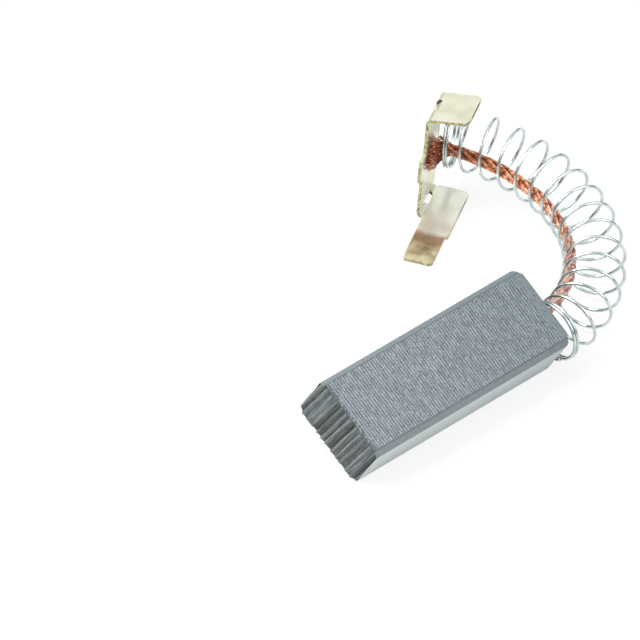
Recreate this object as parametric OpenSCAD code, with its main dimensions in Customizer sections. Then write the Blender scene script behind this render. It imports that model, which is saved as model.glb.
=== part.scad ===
// Carbon brush for a small universal motor, lying loose on a bench.
// The block leans on one long edge, the spring curls away from its tail, and the
// brass cap of the holder tube stands on the edge of its long flange.
// Bench frame: X along the block from the contact end, Z up, Z = 0 is the bench.

/* [Block] */
// Length of the block, contact end to tail
block_l = 29; // [24:0.5:36]
// Width of the block, across the wide faces
block_w = 10; // [8.5:0.25:12]
// Thickness of the block
block_t = 6.5; // [5.5:0.25:8]
// Bevel ground along the four long edges
edge_bevel = 0.65; // [0.3:0.05:1]
// Radius worn on the two wide corners of the tail
tail_r = 0.9; // [0.3:0.05:1.5]
// Bevel along the tail's other two edges
tail_bevel = 0.3; // [0.1:0.05:0.6]

/* [Contact face] */
// Spacing of the bedding grooves
groove_pitch = 0.83; // [0.5:0.01:1.2]
// Mean depth of the bedding grooves
groove_depth = 0.24; // [0.1:0.02:0.4]

/* [Cord] */
// Diameter over the stranded copper cord
cord_d = 1.2; // [0.8:0.05:1.5]
// Bundles of wires twisted into the cord
cord_bundles = 6; // [4:1:7]
// Length in which a bundle goes once round the cord
cord_lay = 11; // [6:0.5:14]
// Diameter of the hole that the cord is tamped into
hole_d = 2.8; // [2.2:0.1:3.4]
// Depth of that hole
hole_depth = 7; // [4:0.5:10]

/* [Spring] */
// Wire diameter
wire_d = 0.35; // [0.25:0.01:0.45]
// Outer diameter of the coil
coil_od = 6.9; // [6:0.1:7.5]
// Open turns
open_turns = 14; // [10:1:18]
// Closed turns at the block
tail_turns = 2; // [1:0.5:3]
// Closed turns at the cap
cap_turns = 2; // [1:0.5:3]

/* [Cap] */
// Thickness of the brass sheet
sheet = 0.35; // [0.25:0.01:0.45]
// Wall of the holder tube that the cap clips over
tube_wall = 1; // [0.6:0.05:1.4]
// Clearance of the cap over the tube and of the block in it, on each side
cap_clear = 0.15; // [0.05:0.01:0.3]
// Length of the web along the tube's thickness
web_l = 5.7; // [5:0.1:6.5]
// Reach of the long flange from the outside of the web
flange_w = 4.3; // [4:0.1:5]
// Reach of the short flange from the outside of the web
short_flange_w = 4.8; // [4:0.1:5]
// Angle that the short flange has sprung open
flare = 9; // [0:1:15]
// Length of the flange that carries the tongue, with the tongue
long_flange_l = 13.5; // [11:0.1:17]
// Radius on the outside of the two folds
fold_r = 0.7; // [0.5:0.05:0.9]

/* [Lying on the bench] */
// Lean of the block from flat
lean = 32; // [10:1:45]
// Angle at which the spring's axis leaves the block's tail
seat_tilt = 12; // [0:1:20]
// Heading of the cap's web, turned from the block's own heading
cap_heading = 209.4; // [195:0.2:225]
// Nod of the cap, which puts the flange's free edge on the bench
cap_nod = 4.5; // [0:0.5:8]
// Cap's fold from the block's tail, along the block
cap_x = 12.9; // [11:0.1:16]
// Cap's fold from the block's long edge, across the block
cap_y = 31.3; // [27:0.1:35]

/* [Hidden] */
$fn = 48;

// Smallest air between pieces that only lie beside each other
seat_gap = 0.02;
// Air between the cord and the spring, or the powder round it
cord_gap = 0.05;

// The block's resting edge is the lower corner of its bevel
block_lift = -edge_bevel * min(sin(lean), cos(lean));

function flat(v) = [v[0], v[1], 0];
function unit(v) = v / norm(v);

// A point of the block's own frame on the bench
function on_block(p) = [
    p[0],
    p[1] * cos(lean) - p[2] * sin(lean),
    p[1] * sin(lean) + p[2] * cos(lean) + block_lift
];

// A point of the cap's own frame on the bench: a along the web towards the tongue's
// tip, b from the web towards the free edges, h from the long flange to the short one
cap_lift = flange_w * sin(cap_nod);
function on_cap(p) =
    let (b = p[1] * cos(cap_nod) + p[2] * sin(cap_nod))
    [
        block_l + cap_x + p[0] * cos(cap_heading) - b * sin(cap_heading),
        cap_y + p[0] * sin(cap_heading) + b * cos(cap_heading),
        p[2] * cos(cap_nod) - p[1] * sin(cap_nod) + cap_lift
    ];

// Height of the cap over the outside of its flanges
cap_h = block_w + 2 * (tube_wall + cap_clear + sheet);

// Middle of the block's tail, where the cord comes out
tail_centre = on_block([block_l, block_w / 2, block_t / 2]);
// Thickness of the cord's end where it is pressed and welded to the web
weld_t = 0.45;

// ---- Course of the spring's axis ----
coil_r = (coil_od - wire_d) / 2;
// The spring has slid down the tail until its inside bears on the cord
spring_slip = coil_r - wire_d / 2 - cord_d / 2 - cord_gap;
slip_turn = 11;
// Its closed turns lie flat on the tail
slip = spring_slip * [0, cos(slip_turn), -sin(slip_turn)];
axis_start = on_block([block_l, block_w / 2, block_t / 2] - slip)
    + [wire_d / 2 + seat_gap, 0, 0];
// Middle of the last turn, beside the web and clear of the flattened cord on it
axis_end = on_cap([-1.8, sheet + weld_t + 0.15, 5.85]);
// The axis leaves the tail, swings out and comes back to the cap in one bend
start_pull = 6.5;
bend = [24.9, 6.8];
end_pull = 4.6;
end_heading = cap_heading - 86;
axis_plan = [
    flat(axis_start),
    flat(axis_start) + start_pull * [cos(seat_tilt), -sin(seat_tilt), 0],
    flat(tail_centre) + [bend[0], bend[1], 0],
    flat(axis_end) - end_pull * [cos(end_heading), sin(end_heading), 0],
    flat(axis_end)
];
function axis_plan_at(t) =
    pow(1 - t, 4) * axis_plan[0] + 4 * pow(1 - t, 3) * t * axis_plan[1]
    + 6 * pow(1 - t, 2) * t * t * axis_plan[2] + 4 * (1 - t) * pow(t, 3) * axis_plan[3]
    + pow(t, 4) * axis_plan[4];
function axis_level(t) = axis_start[2] + (axis_end[2] - axis_start[2]) * t * t * (3 - 2 * t);
// Sag of the axis half way along
axis_sag = 0.35;
function axis_height(t) = axis_level(t) - axis_sag * pow(sin(180 * t), 2);
function axis_at(t) = axis_plan_at(t) + [0, 0, axis_height(t)];
function axis_ahead(t) = unit(axis_at(min(1, t + 0.005)) - axis_at(max(0, t - 0.005)));
// Level direction to the left of the axis, which is the inside of the bend
function axis_left(t) = let (d = axis_ahead(t)) unit([-d[1], d[0], 0]);

// Length along the axis against t, for even turns
AXIS_STEPS = 80;
axis_table = [
    for (
        i = 0, s = 0;
        i <= AXIS_STEPS;
        s = s + norm(axis_at(min(1, (i + 1) / AXIS_STEPS)) - axis_at(i / AXIS_STEPS)), i = i + 1
    )
    [s, i / AXIS_STEPS]
];
axis_length = axis_table[AXIS_STEPS][0];
function axis_t(s) = lookup(s, axis_table);

// ---- Spring ----
closed_pitch = wire_d + seat_gap;
// The closed turns on the tail are stepped along a slanted axis
tail_pitch = closed_pitch / cos(seat_tilt);
turns = tail_turns + open_turns + cap_turns;
open_way = axis_length - tail_pitch * tail_turns - closed_pitch * cap_turns;
open_pitch = open_way / open_turns;
// Way along the axis after n turns
function turn_way(n) =
    min(n, tail_turns) * tail_pitch
    + max(0, min(n - tail_turns, open_turns)) * open_pitch
    + max(0, n - tail_turns - open_turns) * closed_pitch;
// The turns come away from the tail's face over the first open turn and a half
LIFT_TURNS = 1.5;
function lift(n) = let (k = max(0, min(1, (n - tail_turns) / LIFT_TURNS))) k * k * (3 - 2 * k);
function turn_ahead(n) =
    unit(lift(n) * axis_ahead(axis_t(turn_way(n))) + (1 - lift(n)) * [1, 0, 0]);
// Where round the axis the wire starts
wire_start = 115;
TURN_STEPS = 16;
function wire_at(n) =
    let (
        ahead = turn_ahead(n),
        left = unit([-ahead[1], ahead[0], 0]),
        up = cross(ahead, -left),
        angle = wire_start - 360 * n
    )
    axis_at(axis_t(turn_way(n))) + coil_r * (cos(angle) * left + sin(angle) * up);
wire_line = [for (i = [0:turns * TURN_STEPS]) wire_at(i / TURN_STEPS)];

// Middle of the whole brush's footprint, from the block's contact end and resting edge:
// the spring's bend reaches farthest along and to both sides
middle_x = (max([for (p = wire_line) p[0]]) + wire_d / 2) / 2;
middle_y = (max([for (p = wire_line) p[1]]) + min([for (p = wire_line) p[1]])) / 2;

// ---- Cord ----
cord_r = cord_d / 2;
// Offsets of the cord from the spring's axis, towards the inside of the bend and down
cord_end_t = 0.95;
cord_slip = on_block(slip) - on_block([0, 0, 0]);
cord_in = [cord_slip[1], 2.78, 1.9];
cord_down = [-cord_slip[2], 0.41, 0.2];
function bezier(q, t) =
    pow(1 - t, 3) * q[0] + 3 * pow(1 - t, 2) * t * q[1]
    + 3 * (1 - t) * t * t * q[2] + pow(t, 3) * q[3];
function bend3(q, t) = pow(1 - t, 2) * q[0] + 2 * (1 - t) * t * q[1] + t * t * q[2];
function cord_beside(t) =
    axis_at(t) + axis_left(t) * bend3(cord_in, t) - [0, 0, bend3(cord_down, t)];

weld_b = sheet + weld_t / 2 + seat_gap;
// The last stretch comes out of the spring's end, turns along the web and is pressed flat
cord_out = cord_beside(cord_end_t);
cord_turn = [
    cord_out,
    cord_out + 0.9 * unit(cord_out - cord_beside(cord_end_t - 0.02)),
    on_cap([0.1, weld_b, 5.4]),
    on_cap([1.9, weld_b, 5.9])
];
cord_tip = on_cap([5.2, weld_b, 8.2]);
// How many times as wide as the round cord its pressed end is
weld_spread = 2.8;

// Depth of the flutes between its bundles, as a share of its radius
flute = 0.13;
CORD_RINGS = 44;
TURN_RINGS = 14;
function cord_points() = concat(
    [on_block([block_l - hole_depth + 1, block_w / 2, block_t / 2])],
    [for (i = [0:CORD_RINGS]) cord_beside(cord_end_t * i / CORD_RINGS)],
    [for (i = [1:TURN_RINGS]) bezier(cord_turn, i / TURN_RINGS)],
    [(cord_turn[3] + cord_tip) / 2, cord_tip]
);
cord_line = cord_points();
cord_last = len(cord_line) - 1;
cord_ways = [
    for (
        i = 0, s = 0;
        i <= cord_last;
        s = s + norm(cord_line[min(i + 1, cord_last)] - cord_line[i]), i = i + 1
    )
    s
];

// Closed tube of triangles through rings of equal count
module tube(rings) {
    sides = len(rings[0]);
    last = len(rings) - 1;
    points = concat([for (r = rings) each r], [mean(rings[0]), mean(rings[last])]);
    first_hub = (last + 1) * sides;
    polyhedron(
        points = points,
        faces = concat(
            [for (i = [0:last - 1], j = [0:sides - 1])
                [i * sides + j, (i + 1) * sides + j, (i + 1) * sides + (j + 1) % sides]],
            [for (i = [0:last - 1], j = [0:sides - 1])
                [i * sides + j, (i + 1) * sides + (j + 1) % sides, i * sides + (j + 1) % sides]],
            [for (j = [0:sides - 1]) [first_hub, j, (j + 1) % sides]],
            [for (j = [0:sides - 1]) [first_hub + 1, last * sides + (j + 1) % sides, last * sides + j]]
        ),
        convexity = 10
    );
}
function mean(v) = [for (k = [0:2]) sum([for (p = v) p[k]]) / len(v)];
function sum(v, i = 0) = i < len(v) ? v[i] + sum(v, i + 1) : 0;

module on_bench() {
    translate([-middle_x, -middle_y, 0]) children();
}

// ---- Block ----
module block_section() {
    c = edge_bevel;
    polygon([
        [c, 0], [block_w - c, 0], [block_w, c], [block_w, block_t - c],
        [block_w - c, block_t], [c, block_t], [0, block_t - c], [0, c]
    ]);
}

// Depth of groove number i: they are cut by hand and none is like its neighbour
function groove_cut(i) = groove_depth * (1 + 0.35 * sin(137 * i));
groove_count = ceil(block_w / groove_pitch);

module block_plan() {
    r = tail_r;
    difference() {
        polygon(concat(
            [[0, -1], [block_l - r, -1]],
            arc([block_l - r, r], r, -90, 0),
            arc([block_l - r, block_w - r], r, 0, 90),
            [[block_l - r, block_w + 1], [0, block_w + 1]]
        ));
        for (i = [0:groove_count]) {
            y = i * groove_pitch;
            polygon([
                [-1, y - groove_pitch * 0.3], [0, y - groove_pitch * 0.3],
                [groove_cut(i), y - groove_pitch * 0.1], [groove_cut(i) * 0.9, y + groove_pitch * 0.12],
                [0, y + groove_pitch * 0.34], [-1, y + groove_pitch * 0.34]
            ]);
        }
    }
}

module block_side() {
    c = tail_bevel;
    polygon([
        [0, -1], [block_l - c, -1], [block_l - c, 0], [block_l, c],
        [block_l, block_t - c], [block_l - c, block_t], [block_l - c, block_t + 1],
        [0, block_t + 1]
    ]);
}

module in_block_frame() {
    on_bench() translate([0, 0, block_lift]) rotate([lean, 0, 0]) children();
}

module tail_hole(d, depth) {
    translate([block_l - depth, block_w / 2, block_t / 2])
        rotate([0, 90, 0]) cylinder(d = d, h = depth + 1);
}

module carbon_block() {
    color("slategray") in_block_frame() difference() {
        intersection() {
            rotate([90, 0, 90]) linear_extrude(block_l) block_section();
            translate([0, 0, -1]) linear_extrude(block_t + 2) block_plan();
            translate([0, block_w + 1, 0]) rotate([90, 0, 0])
                linear_extrude(block_w + 2) block_side();
        }
        tail_hole(hole_d, hole_depth);
    }
}

// Copper powder tamped round the cord, a little below the tail's face
plug_sink = 0.3;
module tamping_plug() {
    color("saddlebrown") in_block_frame() difference() {
        translate([block_l - hole_depth, block_w / 2, block_t / 2])
            rotate([0, 90, 0]) cylinder(d = hole_d, h = hole_depth - plug_sink);
        translate([0.5, 0, 0]) tail_hole(cord_d + 2 * seat_gap, hole_depth - 0.5);
    }
}

module pigtail() {
    n = len(cord_line) - 1;
    web_out = unit(on_cap([0, 1, 0]) - on_cap([0, 0, 0]));
    web_up = unit(on_cap([0, 0, 1]) - on_cap([0, 0, 0]));
    sides = cord_bundles * 4;
    rings = [
        for (i = [0:n])
            let (
                ahead = unit(cord_line[min(n, i + 1)] - cord_line[max(0, i - 1)]),
                side = unit(cross(ahead, [0, 0, 1])),
                up = cross(side, ahead),
                press = max(0, min(1, (i - (n - TURN_RINGS - 2)) / (TURN_RINGS * 0.75)))
            )
            [for (j = [0:sides - 1])
                let (
                    angle = 360 * j / sides,
                    twist = 360 * cord_ways[i] / cord_lay,
                    r = cord_r * (1 - flute + flute * cos(cord_bundles * (angle - twist))),
                    v = r * (cos(angle) * up + sin(angle) * side)
                )
                cord_line[i] + v
                    - press * (1 - weld_t / cord_d) * (v * web_out) * web_out
                    + press * (weld_spread - 1) * (v * web_up) * web_up
            ]
    ];
    color("peru") on_bench() tube(rings);
}

module spring() {
    sides = 6;
    rings = [
        for (i = [0:turns * TURN_STEPS])
            let (
                n = i / TURN_STEPS,
                here = wire_line[i],
                ahead = unit(wire_at(min(turns, n + 0.01)) - wire_at(max(0, n - 0.01))),
                out = unit(here - axis_at(axis_t(turn_way(n)))),
                side = unit(cross(ahead, out)),
                rise = cross(side, ahead)
            )
            [for (j = [0:sides - 1])
                here + wire_d / 2 * (cos(360 * j / sides) * rise + sin(360 * j / sides) * side)]
    ];
    color("silver") on_bench() tube(rings);
}

// ---- Cap: one sheet, folded to a channel, pierced and notched ----
// Inner edge of the tongue, and the slot between it and the web
tongue_b = 0.75;
notch_l = 0.2;
// How far the long flange runs past the web on its far side
flange_past = 0.25;
// Lug on the near edge of the web
lug_l = 1.1;
lug_h = [5.4, 8.2];
// Where the tongue steps in from the flange's free edge
tongue_step = 8.2;
// Length of the web at its upper part
web_top_l = web_l - 0.35;
// Slots through the folds
window_a = 1.4;
window_l = 2.1;
window_b = 0.72;

module in_cap_frame() {
    on_bench() translate([block_l + cap_x, cap_y, cap_lift])
        rotate([0, 0, cap_heading]) rotate([-cap_nod, 0, 0]) children();
}

function arc(c, r, from, to, n = 6) =
    [for (i = [0:n]) let (a = from + (to - from) * i / n) [c[0] + r * cos(a), c[1] + r * sin(a)]];

// Folded section in b and h, with a flange at each end of the web
module cap_section() {
    ri = fold_r - sheet;
    low = [fold_r, fold_r];
    high = [fold_r, cap_h - fold_r];
    reach = short_flange_w - fold_r;
    along = [cos(flare), sin(flare)];
    up = [-sin(flare), cos(flare)];
    polygon(concat(
        [[flange_w, 0], [flange_w, sheet]],
        arc(low, ri, -90, -180),
        arc(high, ri, 180, 90 + flare),
        [high + ri * up + reach * along, high + fold_r * up + reach * along],
        arc(high, fold_r, 90 + flare, 180),
        arc(low, fold_r, 180, 270)
    ));
}

// Outline of the long flange and its tongue: a along the web, b across
module long_flange_plan() {
    r = 0.6;
    tip = long_flange_l - 0.3;
    far = -flange_past;
    polygon(concat(
        [[0, -1], [0, fold_r], [far, fold_r + flange_past]],
        arc([far + r, flange_w - r], r, 180, 90),
        [[tongue_step, flange_w], [tongue_step + 0.2, flange_w - 0.3]],
        arc([tip, flange_w - 0.6], 0.3, 90, 0),
        arc([tip, tongue_b + 0.3], 0.3, 0, -90),
        [[web_l + notch_l, tongue_b]],
        [[web_l, tongue_b], [web_l, -1]]
    ));
}

// Outline of the short flange
module short_flange_plan() {
    r = 0.9;
    end = short_flange_w + 1;
    polygon(concat(
        [[0, -1]],
        arc([r, short_flange_w - r], r, 180, 90),
        [[web_top_l - 1.1, short_flange_w], [web_top_l, short_flange_w - 0.5], [web_top_l, -1]]
    ));
}

// Outline of the web: a along, h up, with its near edge stepped in towards the top
module web_plan() {
    above = cap_h + short_flange_w;
    start = sheet + seat_gap;
    polygon([
        [0, start], [web_l, start], [web_l, lug_h[0] - 0.4], [web_l + lug_l, lug_h[0]],
        [web_l + lug_l, lug_h[1]], [web_top_l, lug_h[1]], [web_top_l, above], [0, above]
    ]);
}

// Slot through a fold, rounded at its far end
module window(length, depth) {
    r = 0.3;
    translate([0, 0, -1]) linear_extrude(1 + depth) polygon(concat(
        [[0, -1], [length, -1], [length, window_b]],
        arc([r, window_b - r], r, 90, 180)
    ));
}

module clip() {
    color("palegoldenrod") in_cap_frame() difference() {
        intersection() {
            translate([long_flange_l, 0, 0]) rotate([90, 0, -90]) mirror([1, 0, 0])
                linear_extrude(long_flange_l + flange_past) cap_section();
            union() {
                translate([0, 0, -1]) linear_extrude(1 + fold_r) long_flange_plan();
                translate([0, short_flange_w + 1, 0]) rotate([90, 0, 0])
                    linear_extrude(short_flange_w + 2) web_plan();
            }
            union() {
                translate([-1, -1, -2])
                    cube([2 * long_flange_l, 2 * flange_w + 2, cap_h + 2 - fold_r]);
                linear_extrude(2 * cap_h) short_flange_plan();
            }
        }
        translate([window_a, 0, 0]) window(window_l, fold_r);
        translate([window_a, 0, cap_h]) mirror([0, 0, 1]) window(window_l, fold_r);
    }
}

carbon_block();
tamping_plug();
pigtail();
spring();
clip();
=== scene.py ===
# %% [markdown]
# # A carbon brush on a white bench
#
# A carbon brush carries current from a fixed holder to the turning commutator of a
# small motor. This one has come out of its tube: a block of pressed carbon, a coil
# spring that has curled round, a bare copper cord inside the spring, and a thin brass
# cap that used to close the tube. The solids come from the CAD frame. Here they get
# the surface that makers know them by.

import math

import bpy
import numpy as np
from mathutils import Matrix, Vector


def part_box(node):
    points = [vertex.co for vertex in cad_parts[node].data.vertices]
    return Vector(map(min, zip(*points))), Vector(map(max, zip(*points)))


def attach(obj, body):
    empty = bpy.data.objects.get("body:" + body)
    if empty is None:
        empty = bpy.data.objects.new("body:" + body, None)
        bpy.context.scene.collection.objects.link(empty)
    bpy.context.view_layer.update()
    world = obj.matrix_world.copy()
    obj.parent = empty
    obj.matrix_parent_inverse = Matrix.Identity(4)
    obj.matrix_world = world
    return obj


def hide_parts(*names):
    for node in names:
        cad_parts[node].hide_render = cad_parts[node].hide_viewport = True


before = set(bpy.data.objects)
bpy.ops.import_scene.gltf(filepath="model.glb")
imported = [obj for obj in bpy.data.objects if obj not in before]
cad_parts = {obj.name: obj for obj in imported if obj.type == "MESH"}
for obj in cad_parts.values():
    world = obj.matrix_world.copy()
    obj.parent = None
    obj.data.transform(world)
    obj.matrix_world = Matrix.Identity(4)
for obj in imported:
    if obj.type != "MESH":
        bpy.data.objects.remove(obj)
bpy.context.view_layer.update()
print("solids:", sorted(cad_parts))

# %% [markdown]
# ## Sizes
#
# The script works in millimetres and turns them to metres at the last step. The
# driving sizes are the ones that the solids were drawn with. The place on the bench is
# measured from the block's own box, so the dressed pieces land on the solids.

# %% Driving sizes, in millimetres and radians
MM = 0.001
block_l, block_w, block_t = 29.0, 10.0, 6.5
edge_bevel, tail_r, tail_bevel = 0.65, 0.9, 0.3
lean = math.radians(32)
cord_d, cord_lay, hole_depth = 1.2, 11.0, 7.0
wire_d, coil_od = 0.35, 6.9
tail_turns, open_turns, cap_turns = 2, 14, 2
sheet, flange_w = 0.35, 4.3
cap_heading, cap_nod = math.radians(209.4), math.radians(4.5)
cap_x, cap_y = 12.9, 31.3
seat_tilt, slip_turn = math.radians(12), math.radians(11)
seat_gap, cord_gap, weld_t = 0.02, 0.05, 0.45
print("block", block_l, "x", block_w, "x", block_t, "mm, coil", coil_od, "mm of", wire_d, "mm wire")

# %% Two local frames: the leaning block, and the cap
block_turn = np.array([
    [1, 0, 0],
    [0, math.cos(lean), -math.sin(lean)],
    [0, math.sin(lean), math.cos(lean)],
])
block_low = np.array(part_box("carbon_block")[0]) / MM
block_corners = np.array([[0, edge_bevel, 0], [0, 0, block_t - edge_bevel]]) @ block_turn.T
block_place = block_low - np.array([0, block_corners[:, 1].min(), block_corners[:, 2].min()])


def on_block(x, y, z):
    """A point of the block's own frame, on the bench, in millimetres."""
    return block_turn @ np.array([x, y, z], float) + block_place


c, s = math.cos(cap_heading), math.sin(cap_heading)
cn, sn = math.cos(cap_nod), math.sin(cap_nod)
cap_turn = np.array([[c, -s * cn, -s * sn], [s, c * cn, c * sn], [0, -sn, cn]])
cap_place = np.array([block_low[0] + block_l + cap_x, block_place[1] + cap_y, flange_w * sn])


def on_cap(a, b, h):
    """A point of the cap's own frame: along the web, towards the block, and up."""
    return cap_turn @ np.array([a, b, h], float) + cap_place


print("block starts at", np.round(block_place, 3), "cap folds at", np.round(cap_place, 3))

# %% [markdown]
# ## The course of the spring
#
# On the real brush this is a straight compression spring that has bent sideways. A helix
# round a straight line could be bent by a modifier, but its end turns would tilt. It is
# wound here round a curved axis instead: a smooth curve that leaves the block's tail,
# swings out and comes back to the cap. The turns are counted along its length, so that
# their spacing stays even.


# %% Where the spring's axis starts and ends
# It starts in the middle of the turns that rest on the tail. There the spring has slipped
# off the shunt's centre until its inside all but touches the cord.
coil_r = (coil_od - wire_d) / 2
spring_slip = coil_r - wire_d / 2 - cord_d / 2 - cord_gap
tail_centre = on_block(block_l, block_w / 2, block_t / 2)
slip = block_turn @ (spring_slip * np.array([0, math.cos(slip_turn), -math.sin(slip_turn)]))
axis_start = tail_centre - slip + np.array([wire_d / 2 + seat_gap, 0, 0])
cap_seat_a, cap_seat_h, over_weld = -1.8, 5.85, 0.15
axis_end = on_cap(cap_seat_a, sheet + weld_t + over_weld, cap_seat_h)
print("axis runs from", np.round(axis_start, 1), "to", np.round(axis_end, 1))


# %% The axis between them
def ease(t):
    """Goes from 0 to 1 as t does, and is level at both ends."""
    return t * t * (3 - 2 * t)


# Five points pull the plan of the curve. The middle one is where the bend reaches out to.
start_pull, end_pull = 6.5, 4.6
bend_reach = np.array([24.9, 6.8])
meets_web = math.radians(86)
end_heading = cap_heading - meets_web
axis_sag = 0.35
axis_plan = np.array([
    axis_start[:2],
    axis_start[:2] + start_pull * np.array([math.cos(seat_tilt), -math.sin(seat_tilt)]),
    tail_centre[:2] + bend_reach,
    axis_end[:2] - end_pull * np.array([math.cos(end_heading), math.sin(end_heading)]),
    axis_end[:2],
])
plan_order = len(axis_plan) - 1


def axis_at(t):
    """Points of the axis at the fractions t, as rows."""
    t = np.atleast_1d(t)[:, None]
    plan = sum(math.comb(plan_order, k) * (1 - t) ** (plan_order - k) * t ** k * pull
               for k, pull in enumerate(axis_plan))
    height = axis_start[2] + (axis_end[2] - axis_start[2]) * ease(t)
    return np.hstack([plan, height - axis_sag * np.sin(np.pi * t) ** 2])


steps = np.linspace(0, 1, 401)
course = np.cumsum(np.r_[0, np.linalg.norm(np.diff(axis_at(steps), axis=0), axis=1)])
print("axis is", round(course[-1], 2), "mm long")

# %% Directions along the axis
nearby = 0.005


def rows_unit(v):
    """Each row at length one."""
    return v / np.linalg.norm(v, axis=1)[:, None]


def axis_ahead(t):
    """Direction of travel along the axis."""
    return rows_unit(axis_at(np.minimum(1, t + nearby)) - axis_at(np.maximum(0, t - nearby)))


def axis_left(t):
    """Level direction towards the inside of the bend."""
    d = axis_ahead(t)
    return rows_unit(np.stack([-d[:, 1], d[:, 0], 0 * d[:, 0]], 1))


print("axis leaves the tail along", np.round(axis_ahead(np.zeros(1))[0], 2))

# %% The helix round it
# The closed turns lie flat on the block's tail, and the first open ones come away from it.
closed_pitch = wire_d + seat_gap
tail_pitch = closed_pitch / math.cos(seat_tilt)
turns = tail_turns + open_turns + cap_turns
open_pitch = (course[-1] - tail_pitch * tail_turns - closed_pitch * cap_turns) / open_turns
wire_start, lift_turns = math.radians(115), 1.5
points_a_turn = 60


def helix(n):
    """Centre of the wire after n turns."""
    way = (np.minimum(n, tail_turns) * tail_pitch
           + np.clip(n - tail_turns, 0, open_turns) * open_pitch
           + np.maximum(0, n - tail_turns - open_turns) * closed_pitch)
    t = np.interp(way, course, steps)
    lift = ease(np.clip((n - tail_turns) / lift_turns, 0, 1))[:, None]
    ahead = rows_unit(lift * axis_ahead(t) + (1 - lift) * np.array([1, 0, 0]))
    left = rows_unit(np.stack([-ahead[:, 1], ahead[:, 0], 0 * t], 1))
    up = np.cross(ahead, -left)
    angle = (wire_start - 2 * np.pi * n)[:, None]
    return axis_at(t) + coil_r * (np.cos(angle) * left + np.sin(angle) * up)


spring_line = helix(np.linspace(0, turns, turns * points_a_turn + 1))
print("open pitch", round(open_pitch, 2), "mm over", turns, "turns")

# %% [markdown]
# ## Sweeping round wire
#
# Spring wire and copper wire are both drawn through a die, so both are swept circles. A
# curve object with a round bevel would do for one wire, but fifty of them are easier to
# keep closed and light as one mesh. One function sweeps a circle along any number of
# lines: each ring of points stands square to its line, and is turned as little as
# possible from the ring before it.


# %% A swept tube
def unit(v):
    """The vector at length one."""
    return v / np.linalg.norm(v)


def sweep(name, lines, radius, sides):
    """One mesh of round wires. Each line is an array of points in millimetres."""
    points, faces = [], []
    around = np.linspace(0, 2 * np.pi, sides, endpoint=False)
    not_along = [0.31, 0.17, 0.93]
    for line in lines:
        ahead = rows_unit(np.gradient(line, axis=0))
        side = np.cross(ahead[0], not_along)
        first, rings = len(points), len(line)
        for p, d in zip(line, ahead):
            side = unit(side - d * (side @ d))
            rise = np.cross(d, side)
            for angle in around:
                points.append((p + radius * (math.cos(angle) * side + math.sin(angle) * rise)) * MM)
        for i in range(rings - 1):
            for j in range(sides):
                k = (j + 1) % sides
                a, b = first + i * sides, first + (i + 1) * sides
                faces.append((a + j, a + k, b + k, b + j))
        faces.append(tuple(first + j for j in reversed(range(sides))))
        faces.append(tuple(first + (rings - 1) * sides + j for j in range(sides)))
    mesh = bpy.data.meshes.new(name)
    mesh.from_pydata(points, [], faces)
    mesh.shade_smooth()
    piece = bpy.data.objects.new(name, mesh)
    bpy.context.collection.objects.link(piece)
    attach(piece, "root")
    return piece


spring = sweep("spring_wire", [spring_line], wire_d / 2, sides=12)
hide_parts("spring")
print("spring has", len(spring.data.polygons), "faces")

# %% [markdown]
# ## The shunt
#
# The cord is six bundles of fine wires, twisted round a seventh. It comes out of the
# block's tail, lies along the inside of the bend, and ends pressed flat and welded to
# the inside of the cap's web. A rope pattern on a smooth tube would be cheaper, but the
# twist is what the eye reads as copper cord, most of all where the outline shows it. So
# every wire is a real strand.

# %% The cord's centre line beside the spring's axis
# Its offsets from the axis, towards the inside of the bend and down: at the tail, the
# pull halfway, and at the cap.
cord_end_t, just_before = 0.95, 0.02
cord_in = [slip[1], 2.78, 1.9]
cord_down = [-slip[2], 0.41, 0.2]


def pulled(q, t):
    """Goes from the first of three values to the last, pulled by the middle one."""
    return (1 - t) ** 2 * q[0] + 2 * (1 - t) * t * q[1] + t * t * q[2]


def cord_beside(t):
    """Centre of the cord beside the axis at the fractions t."""
    t = np.atleast_1d(t)
    down = np.stack([0 * t, 0 * t, pulled(cord_down, t)], 1)
    return axis_at(t) + axis_left(t) * pulled(cord_in, t)[:, None] - down


cord_out = cord_beside(cord_end_t)[0]
print("cord leaves the spring at", np.round(cord_out, 1))


# %% Its last stretch, from the spring's end along the web to the weld
def bezier(q, t):
    """Points of the curve from the first of four points to the last."""
    t = t[:, None]
    return (1 - t) ** 3 * q[0] + 3 * (1 - t) ** 2 * t * q[1] + 3 * (1 - t) * t * t * q[2] + t ** 3 * q[3]


weld_b = sheet + weld_t / 2 + seat_gap
exit_pull = 0.9
cord_turn = [
    cord_out,
    cord_out + exit_pull * unit(cord_out - cord_beside(cord_end_t - just_before)[0]),
    on_cap(0.1, weld_b, 5.4),
    on_cap(1.9, weld_b, 5.9),
]
cord_tip = on_cap(5.3, weld_b, 8.0)
bottom_gap, beside_points, turn_points = 1, 90, 30
cord_line = np.vstack([
    [on_block(block_l - hole_depth + bottom_gap, block_w / 2, block_t / 2)],
    cord_beside(np.linspace(0, cord_end_t, beside_points)),
    bezier(cord_turn, np.linspace(0, 1, turn_points))[1:],
    [cord_tip],
])
cord_way = np.cumsum(np.r_[0, np.linalg.norm(np.diff(cord_line, axis=0), axis=1)])
cord_length = cord_way[-1]
print("cord is", round(cord_length, 1), "mm long")

# %% Rings along the cord, and the directions there
ring_gap = 0.35
ways = np.linspace(0, cord_length, int(cord_length / ring_gap))
centre = np.stack([np.interp(ways, cord_way, cord_line[:, k]) for k in range(3)], 1)
ahead = rows_unit(np.gradient(centre, axis=0))
side = rows_unit(np.cross(ahead, [0, 0, 1]))
up = np.cross(side, ahead)
web_out = unit(on_cap(0, 1, 0) - on_cap(0, 0, 0))
web_up = unit(on_cap(0, 0, 1) - on_cap(0, 0, 0))
print(len(ways), "rings to a wire")

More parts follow.
